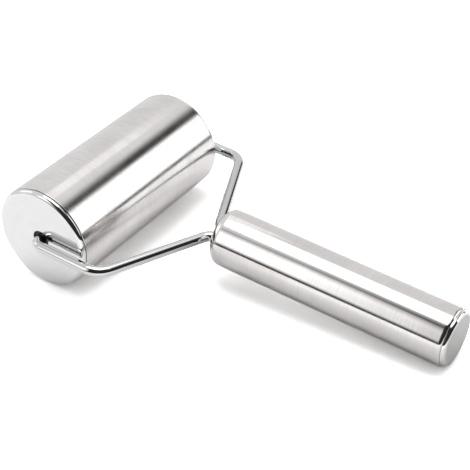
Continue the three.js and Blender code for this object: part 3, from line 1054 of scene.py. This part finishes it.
class HANDROLLER_OT_handle_inside(bpy.types.Operator):
    """Make the core, lock pins, retaining ring and seal inside the handle"""

    bl_idname = "hand_roller.handle_inside"
    bl_label = "Handle Inside"
    bl_options = {"REGISTER", "UNDO"}

    def execute(self, context):
        settings, layout = settings_and_layout(context)
        handle, colour, fit = settings.handle, settings.colour, settings.fit
        plain = turned_steel("inside_steel", colour.plain, colour.plain, **AS_CUT)
        nylon = moulded("black_nylon", colour.core, **NYLON)
        rubber = moulded("nitrile_rubber", colour.seal, **RUBBER)
        core = self.core(handle, layout, fit.press)
        add_piece("handle_core", core, nylon, HANDLE_BODY)
        half = layout.spigot_radius - handle.lock_pin_shortfall
        radius, edge = handle.lock_pin / 2, handle.lock_pin_rounding
        pin = [(0, -half, 0), (radius, -half, edge), (radius, half, edge), (0, half, 0)]
        for name, place in zip(("front_lock_pin", "rear_lock_pin"), layout.lock_pin_frames()):
            mesh = turned_mesh(name, pin, INNER_FACETS, place)
            add_piece(name, mesh, plain, HANDLE_BODY)
        bore = layout.spigot_radius - handle.core_ring_width
        start = layout.core_end + fit.seat
        end = start + handle.core_ring
        ring = ring_corners(bore, layout.spigot_radius, start, end, handle.seam_rounding)
        mesh = turned_mesh("core_retaining_ring", ring, INNER_FACETS, HANDLE_AXIS)
        add_piece("core_retaining_ring", mesh, plain, HANDLE_BODY)
        seal = self.seal(handle, layout, fit.seat)
        mesh = turned_mesh("end_cap_seal", seal, INNER_FACETS, HANDLE_AXIS)
        add_piece("end_cap_seal", mesh, rubber, HANDLE_BODY)
        return {"FINISHED"}

    def core(self, handle, layout, press):
        """The core, with the holes for both arms and for both lock pins."""
        start, end = layout.core_start, layout.core_end
        radius, edge = layout.spigot_radius, handle.seam_rounding
        section = [(0, start, 0), (radius, start, edge), (radius, end, edge), (0, end, 0)]
        mesh = turned_mesh("handle_core", section, INNER_FACETS, HANDLE_AXIS)
        past = handle.nose_sheet
        cutters = layout.tang_cutters(layout.wire_radius + press, start - past, end + past)
        hole = handle.lock_pin / 2 + press
        for place in layout.lock_pin_frames():
            cutters.append(rod_mesh(hole, -handle.diameter, handle.diameter, place))
        return cut_out(mesh, cutters)

    def seal(self, handle, layout, seat):
        """The seal's section, squeezed between the floor of its groove and the bore of the tube."""
        floor = layout.groove_floor + seat
        roof = layout.tube_bore - seat
        section = []
        for step in range(SHOULDER_STEPS):
            turn = 2 * math.pi * step / SHOULDER_STEPS
            radius = (floor + roof) / 2 + (roof - floor) / 2 * math.cos(turn)
            section.append((radius, layout.seal_middle + handle.seal / 2 * math.sin(turn), 0))
        return section


class HANDROLLER_OT_stage(bpy.types.Operator):
    """Set up the camera, the pale table and the studio light"""

    bl_idname = "hand_roller.stage"
    bl_label = "Stage"
    bl_options = {"REGISTER", "UNDO"}

    def execute(self, context):
        settings = context.scene.hand_roller
        self.camera(settings.stage)
        self.floor(settings.stage, settings.colour.floor)
        self.studio(settings.stage)
        self.strip(settings.stage)
        context.scene.view_settings.view_transform = "Standard"
        return {"FINISHED"}

    def camera(self, stage):
        """The camera, turned to the photo's angle about its target."""
        right = Vector((math.cos(stage.azimuth), math.sin(stage.azimuth), 0))
        outwards = Vector((math.sin(stage.azimuth), -math.cos(stage.azimuth), 0))
        back = outwards * math.cos(stage.elevation) + Vector((0, 0, math.sin(stage.elevation)))
        turn = Matrix((right, back.cross(right), back)).transposed().to_4x4()
        data = bpy.data.cameras.new("camera")
        data.lens = stage.lens
        data.sensor_fit = "HORIZONTAL"
        data.clip_start = CLIP_START
        camera = bpy.data.objects.new("camera", data)
        eye = ROLLER_CENTRE + Vector(stage.target) + stage.distance * back
        camera.matrix_world = Matrix.Translation(eye) @ turn @ Matrix.Rotation(stage.roll, 4, "Z")
        bpy.context.scene.collection.objects.link(camera)
        bpy.context.scene.camera = camera

    def floor(self, stage, colour):
        """A round table, lifted to white where the camera sees it, and with painted shade and light where the
        metal shows it.
        """
        made = bmesh.new()
        bmesh.ops.create_circle(made, cap_ends=True, segments=OUTER_FACETS, radius=stage.floor_radius)
        mesh = bpy.data.meshes.new("floor")
        made.to_mesh(mesh)
        made.free()
        material = bpy.data.materials.new("pale_table")
        material.use_nodes = True
        tree = material.node_tree
        tree.nodes.clear()
        ray = add_node(tree, "ShaderNodeLightPath").outputs
        gloss = reckoned(tree, "MAXIMUM", ray["Is Glossy Ray"], ray["Is Transmission Ray"])
        # The metal sees the table with painted shade along the handle and painted light away from it
        shown = spread(tree, gloss, 0.0, 1.0, 1.0, self.painted_table_shade(tree, stage))
        looked_at = spread(tree, ray["Is Camera Ray"], 0.0, 1.0, 1.0, stage.floor_lift)
        tone = {0: tuple(colour), "Scale": reckoned(tree, "MULTIPLY", shown, looked_at)}
        white = first_output(tree, "ShaderNodeVectorMath", tone, operation="SCALE")
        paint = first_output(tree, "ShaderNodeBsdfDiffuse", {"Color": white})
        add_node(tree, "ShaderNodeOutputMaterial", {"Surface": paint})
        mesh.materials.append(material)
        floor = bpy.data.objects.new("floor", mesh)
        bpy.context.scene.collection.objects.link(floor)

    def painted_table_shade(self, tree, stage):
        """Painted shade and light on the table as the metal shows it: darker near the handle, paler away, in
        bands by the roller.
        """
        spot = add_node(tree, "ShaderNodeSeparateXYZ", {"Vector": object_spot(tree)}).outputs
        aside = reckoned(tree, "ABSOLUTE", spot["Y"])
        # Painted shade along the handle, painted light away from it
        by_handle = spread(tree, aside, 0.0, stage.gloss_reach, stage.gloss_near, stage.gloss_far)
        by_cap = spread(tree, spot["Y"], *CAP_BAND, stage.gloss_front, stage.gloss_left)
        by_roller = spread(tree, spot["X"], *ROLLER_BAND, by_cap, stage.gloss_gap)
        return spread(tree, spot["X"], *NOSE_BAND, by_roller, by_handle)

    def studio(self, stage):
        """A pale backdrop, the softboxes, and a dark room behind the camera. The camera sees white."""
        world = bpy.data.worlds.new("studio")
        world.use_nodes = True
        bpy.context.scene.world = world
        tree = world.node_tree
        tree.nodes.clear()
        direction = add_node(tree, "ShaderNodeTexCoord").outputs["Generated"]
        light = spread(tree, self.backdrop(tree, direction), 0.0, 1.0, stage.shade, stage.backdrop)
        for name, panel in SOFTBOXES.items():
            lit = reckoned(tree, "MULTIPLY", self.softbox(tree, direction, panel), getattr(stage, name))
            light = reckoned(tree, "MAXIMUM", light, lit)
        white = first_output(tree, "ShaderNodeBackground", {"Color": WHITE, "Strength": 1.0})
        lighting = first_output(tree, "ShaderNodeBackground", {"Color": WHITE, "Strength": light})
        looked_at = add_node(tree, "ShaderNodeLightPath").outputs["Is Camera Ray"]
        mix = first_output(tree, "ShaderNodeMixShader", {0: looked_at, 1: lighting, 2: white})
        add_node(tree, "ShaderNodeOutputWorld", {"Surface": mix})

    def strip(self, stage):
        """A soft lamp that hangs level behind the roller and shows as a pale band along it."""
        data = bpy.data.lights.new("strip", "AREA")
        data.shape = "RECTANGLE"
        data.size = stage.strip_width
        data.size_y = stage.strip_length
        data.energy = stage.strip
        lamp = bpy.data.objects.new("strip", data)
        lamp.location = ROLLER_CENTRE + Vector(stage.strip_place)
        lamp.visible_camera = False
        bpy.context.scene.collection.objects.link(lamp)

    def facing(self, tree, direction, towards):
        """The share of a direction that points one way."""
        pair = {0: direction, 1: tuple(Vector(towards).normalized())}
        return add_node(tree, "ShaderNodeVectorMath", pair, operation="DOT_PRODUCT").outputs["Value"]

    def backdrop(self, tree, direction):
        """1 on the pale paper that curves up behind the roller and over to its left, 0 elsewhere."""
        above, behind, edge = (
            spread(tree, self.facing(tree, direction, towards), *span)
            for towards, span in (OVERHEAD_SHEET, BACK_SHEET, CUT_EDGE)
        )
        return reckoned(tree, "MULTIPLY", reckoned(tree, "MAXIMUM", above, behind), edge)

    def softbox(self, tree, direction, panel):
        """1 inside a flat panel, given by the slopes at which its edges are seen, and 0 outside it."""
        ahead = self.facing(tree, direction, panel["faces"])
        mask = reckoned(tree, "GREATER_THAN", ahead, PANEL_AHEAD)
        for axis, (begin, full, fade, end) in panel["spans"]:
            slope = reckoned(tree, "DIVIDE", self.facing(tree, direction, axis), ahead)
            mask = reckoned(tree, "MULTIPLY", mask, spread(tree, slope, begin, full))
            mask = reckoned(tree, "MULTIPLY", mask, spread(tree, slope, fade, end, 1.0, 0.0))
        return mask


class HANDROLLER_PT_build(bpy.types.Panel):
    """Lists the operators in the order that they run"""

    bl_idname = "HANDROLLER_PT_build"
    bl_label = "Hand Roller"
    bl_space_type = "VIEW_3D"
    bl_region_type = "UI"
    bl_category = "Hand Roller"

    def draw(self, context):
        for operator in OPERATORS:
            self.layout.operator(operator.bl_idname)


SETTINGS = (
    RollerSizes,
    BearingSizes,
    ArmSizes,
    HandleSizes,
    FitSizes,
    FinishColours,
    StageSettings,
    HandRollerSettings,
)
OPERATORS = (
    HANDROLLER_OT_stage,
    HANDROLLER_OT_roller_tube,
    HANDROLLER_OT_end_caps,
    HANDROLLER_OT_bearings,
    HANDROLLER_OT_arms,
    HANDROLLER_OT_handle_shell,
    HANDROLLER_OT_handle_inside,
)
CLASSES = (*SETTINGS, *OPERATORS, HANDROLLER_PT_build)


def register():
    for made in CLASSES:
        bpy.utils.register_class(made)
    bpy.types.Scene.hand_roller = PointerProperty(type=HandRollerSettings)


def unregister():
    del bpy.types.Scene.hand_roller
    for made in reversed(CLASSES):
        bpy.utils.unregister_class(made)


def main():
    register()
    bpy.ops.hand_roller.stage()
    bpy.ops.hand_roller.roller_tube()
    bpy.ops.hand_roller.end_caps()
    bpy.ops.hand_roller.bearings()
    bpy.ops.hand_roller.arms()
    bpy.ops.hand_roller.handle_shell()
    bpy.ops.hand_roller.handle_inside()


if __name__ == "__main__":
    main()
